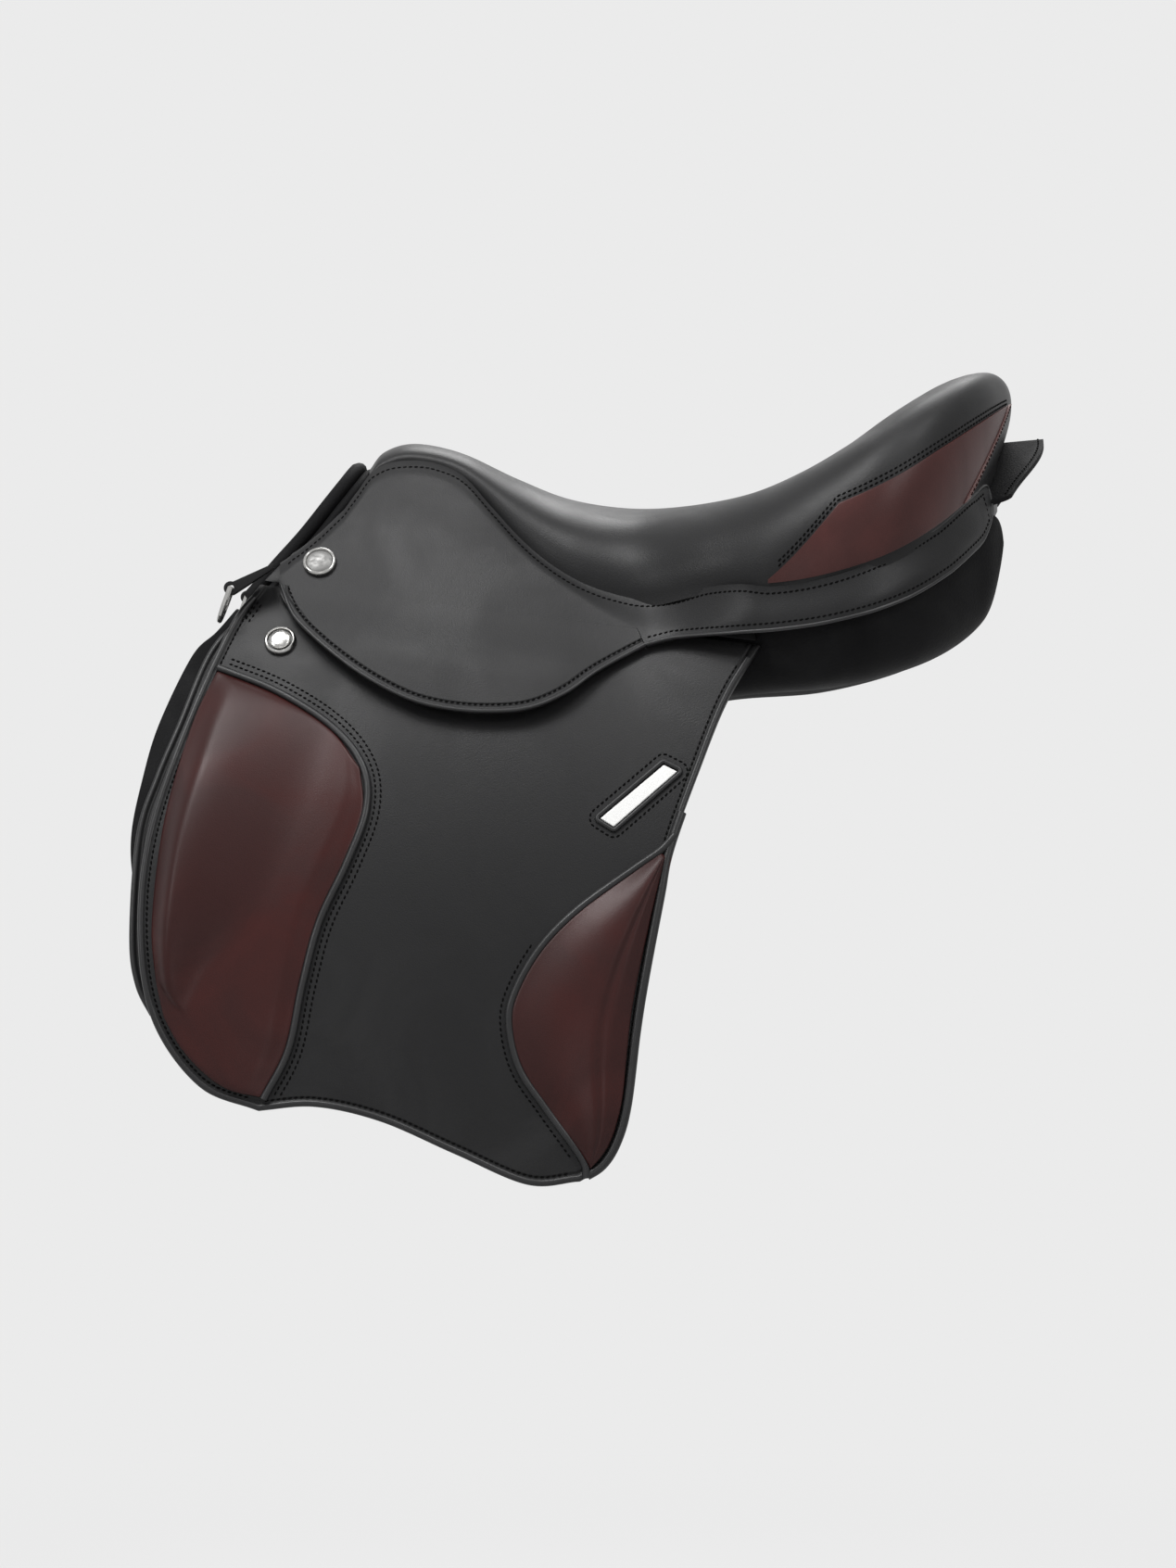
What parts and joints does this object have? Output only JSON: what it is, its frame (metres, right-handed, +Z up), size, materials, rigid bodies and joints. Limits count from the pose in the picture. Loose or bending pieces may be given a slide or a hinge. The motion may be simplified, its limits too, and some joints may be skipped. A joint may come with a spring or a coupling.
{
  "type": "endurance saddle",
  "caption": "English-style endurance saddle with deep seat, long flaps, knee and thigh blocks, lifting skirts and flaps, girth straps and stirrup bars.",
  "frame": {"origin": "on the middle plane of the horse's back, under the deepest part of the seat, level with the panels' lower edge behind", "axes": "+X towards the tail, +Y to the horse's right side, +Z up"},
  "size_m": [0.5598, 0.4322, 0.4915],
  "materials": {
    "black_leather": "smooth grained bridle leather, low sheen",
    "soft_black_leather": "soft grained leather",
    "maroon_leather": "smooth leather, gloss",
    "pale_leather": "smooth leather",
    "nickel": "nickel plate",
    "steel": "satin",
    "tree_polymer": "moulded",
    "foam": "open foam",
    "webbing": "woven"
  },
  "bodies": {
    "saddle": {"tree": "tree_polymer", "gullet_plate": "steel", "gullet_lining": "black_leather", "seat_cover": "black_leather", "seat_foam": "foam", "seat_webbing": "webbing", "cantle_insert_left": "maroon_leather", "cantle_insert_right": "maroon_leather", "skirt_root_left": "black_leather", "skirt_root_right": "black_leather", "skirt_nail_left": "nickel", "skirt_nail_right": "nickel", "flap_root_left": "black_leather", "flap_root_right": "black_leather", "stirrup_bar_left": "steel", "stirrup_bar_right": "steel", "bar_rivet_front_left": "steel", "bar_rivet_front_right": "steel", "bar_rivet_rear_left": "steel", "bar_rivet_rear_right": "steel", "sweat_flap_left": "black_leather", "sweat_flap_right": "black_leather", "front_panel_left": "soft_black_leather", "front_panel_right": "soft_black_leather", "panel_left": "soft_black_leather", "panel_right": "soft_black_leather", "point_pocket_left": "black_leather", "point_pocket_right": "black_leather", "dee_chape_left": "black_leather", "dee_chape_right": "black_leather", "panel_head_roll": "soft_black_leather", "girth_web_front": "webbing", "girth_web_rear": "webbing", "rear_tongue": "black_leather"},
    "flap_left": {"flap_left": "black_leather", "knee_pad_left": "maroon_leather", "thigh_pad_left": "maroon_leather", "flap_inlay_left": "pale_leather", "flap_stud_left": "nickel"},
    "skirt_left": {"skirt_left": "black_leather"},
    "girth_strap_front_left": {"girth_strap_front_left": "black_leather"},
    "girth_strap_middle_left": {"girth_strap_middle_left": "black_leather"},
    "girth_strap_rear_left": {"girth_strap_rear_left": "black_leather"},
    "buckle_guard_left": {"buckle_guard_left": "black_leather"},
    "stirrup_catch_left": {"stirrup_catch_left": "steel"},
    "dee_ring_left": {"dee_ring_left": "nickel"},
    "flap_right": {"flap_right": "black_leather", "knee_pad_right": "maroon_leather", "thigh_pad_right": "maroon_leather", "flap_inlay_right": "pale_leather", "flap_stud_right": "nickel"},
    "skirt_right": {"skirt_right": "black_leather"},
    "girth_strap_front_right": {"girth_strap_front_right": "black_leather"},
    "girth_strap_middle_right": {"girth_strap_middle_right": "black_leather"},
    "girth_strap_rear_right": {"girth_strap_rear_right": "black_leather"},
    "buckle_guard_right": {"buckle_guard_right": "black_leather"},
    "stirrup_catch_right": {"stirrup_catch_right": "steel"},
    "dee_ring_right": {"dee_ring_right": "nickel"}
  },
  "joints": [
    {"name": "flap_lift_left", "type": "hinge", "parent": "saddle", "child": "flap_left", "pos_m": [-0.215, -0.08724, 0.0755], "axis": [-0.9767, 0.1758, 0.1231], "range_deg": [0, 45]},
    {"name": "skirt_lift_left", "type": "hinge", "parent": "flap_left", "child": "skirt_left", "pos_m": [-0.215, -0.08724, 0.0755], "axis": [-0.9767, 0.1758, 0.1231], "range_deg": [0, 45]},
    {"name": "strap_swing_front_left", "type": "hinge", "parent": "saddle", "child": "girth_strap_front_left", "pos_m": [-0.074, -0.1382, -0.012], "axis": [0, -0.9652, 0.2615], "range_deg": [-3, 3]},
    {"name": "strap_swing_middle_left", "type": "hinge", "parent": "saddle", "child": "girth_strap_middle_left", "pos_m": [-0.045, -0.1382, -0.012], "axis": [0, -0.9652, 0.2615], "range_deg": [-3, 3]},
    {"name": "strap_swing_rear_left", "type": "hinge", "parent": "saddle", "child": "girth_strap_rear_left", "pos_m": [-0.016, -0.1382, -0.012], "axis": [0, -0.9652, 0.2615], "range_deg": [-3, 3]},
    {"name": "guard_slide_left", "type": "hinge", "parent": "girth_strap_middle_left", "child": "buckle_guard_left", "pos_m": [-0.045, 0.27181, -0.23797], "axis": [1, 0, 0], "range_deg": [0, 3]},
    {"name": "catch_turn_left", "type": "hinge", "parent": "saddle", "child": "stirrup_catch_left", "pos_m": [-0.07041, -0.09963, 0.046], "axis": [-0.0549, -0.9985, 0], "range_deg": [0, 80]},
    {"name": "dee_swing_left", "type": "hinge", "parent": "saddle", "child": "dee_ring_left", "pos_m": [-0.2485, -0.0945, 0.0735], "axis": [0, 1, 0], "range_deg": [0, 110]},
    {"name": "flap_lift_right", "type": "hinge", "parent": "saddle", "child": "flap_right", "pos_m": [-0.215, 0.08724, 0.0755], "axis": [0.9767, 0.1758, -0.1231], "range_deg": [0, 45]},
    {"name": "skirt_lift_right", "type": "hinge", "parent": "flap_right", "child": "skirt_right", "pos_m": [-0.215, 0.08724, 0.0755], "axis": [0.9767, 0.1758, -0.1231], "range_deg": [0, 45]},
    {"name": "strap_swing_front_right", "type": "hinge", "parent": "saddle", "child": "girth_strap_front_right", "pos_m": [-0.074, 0.1382, -0.012], "axis": [0, 0.9652, 0.2615], "range_deg": [-3, 3]},
    {"name": "strap_swing_middle_right", "type": "hinge", "parent": "saddle", "child": "girth_strap_middle_right", "pos_m": [-0.045, 0.1382, -0.012], "axis": [0, 0.9652, 0.2615], "range_deg": [-3, 3]},
    {"name": "strap_swing_rear_right", "type": "hinge", "parent": "saddle", "child": "girth_strap_rear_right", "pos_m": [-0.016, 0.1382, -0.012], "axis": [0, 0.9652, 0.2615], "range_deg": [-3, 3]},
    {"name": "guard_slide_right", "type": "hinge", "parent": "girth_strap_middle_right", "child": "buckle_guard_right", "pos_m": [-0.045, -0.27181, -0.23797], "axis": [-1, 0, 0], "range_deg": [0, 3]},
    {"name": "catch_turn_right", "type": "hinge", "parent": "saddle", "child": "stirrup_catch_right", "pos_m": [-0.07041, 0.09963, 0.046], "axis": [0.0549, -0.9985, 0], "range_deg": [0, 80]},
    {"name": "dee_swing_right", "type": "hinge", "parent": "saddle", "child": "dee_ring_right", "pos_m": [-0.2485, 0.0945, 0.0735], "axis": [0, 1, 0], "range_deg": [0, 110]}
  ],
  "couplings": [
    {"joint": "strap_swing_front_left", "follows": "strap_swing_middle_left", "ratio": 1},
    {"joint": "strap_swing_rear_left", "follows": "strap_swing_middle_left", "ratio": 1},
    {"joint": "strap_swing_front_right", "follows": "strap_swing_middle_right", "ratio": 1},
    {"joint": "strap_swing_rear_right", "follows": "strap_swing_middle_right", "ratio": 1}
  ]
}
